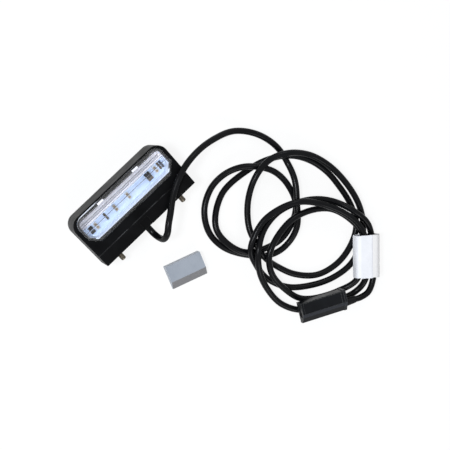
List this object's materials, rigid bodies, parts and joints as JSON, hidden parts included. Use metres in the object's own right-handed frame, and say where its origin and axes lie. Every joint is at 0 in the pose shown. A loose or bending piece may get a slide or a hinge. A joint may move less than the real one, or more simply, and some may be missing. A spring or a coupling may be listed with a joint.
{
  "type": "number plate lamp",
  "caption": "Black number plate lamp with a clear ribbed lens over a white board of light sources, studs, a long round lead in loops and a bevelled plug.",
  "frame": {"origin": "centre of the lamp's length and height, at the flat back that it lies on; the lead, its plug and its loose cover are left out", "axes": "+X along the lamp, +Y from the mounting face and its studs to the top of the hood, +Z from the flat back to the lens"},
  "size_m": [0.2217, 0.2518, 0.0433],
  "materials": {
    "black_plastic": "fine satin grain",
    "clear_lens": "clear polished plastic",
    "seal_rubber": "dull",
    "white_plastic": "smooth white",
    "board": "pale solder mask",
    "phosphor": "clear yellow",
    "chip_ceramic": "fired",
    "chip_black": "moulded",
    "solder": "bright",
    "stud_steel": "zinc plated",
    "core_brown": "smooth",
    "core_white": "smooth",
    "cable_jacket": "soft satin",
    "connector_black": "satin",
    "contact_brass": "turned",
    "plug_seal": "dull",
    "cover_grey": "satin",
    "label_paper": "bare"
  },
  "bodies": {
    "root": {"hood": "black_plastic", "base": "black_plastic", "lens": "clear_lens", "lens_seal": "seal_rubber", "reflector_tray": "white_plastic", "circuit_board": "board", "led_bodies": "white_plastic", "led_phosphor": "phosphor", "resistors": "chip_ceramic", "clamp_diode": "chip_black", "reverse_diode": "chip_black", "capacitor": "chip_ceramic", "wire_joints": "solder", "stud_left": "stud_steel", "stud_right": "stud_steel", "cable_gland": "seal_rubber", "core_live": "core_brown", "core_earth": "core_white", "cable": "cable_jacket", "connector_body": "connector_black", "connector_rear_plate": "connector_black", "connector_boot": "cable_jacket", "connector_sockets": "contact_brass", "connector_cores": "core_brown", "connector_seal": "plug_seal", "connector_cover": "cover_grey", "cable_label": "label_paper"}
  },
  "joints": []
}
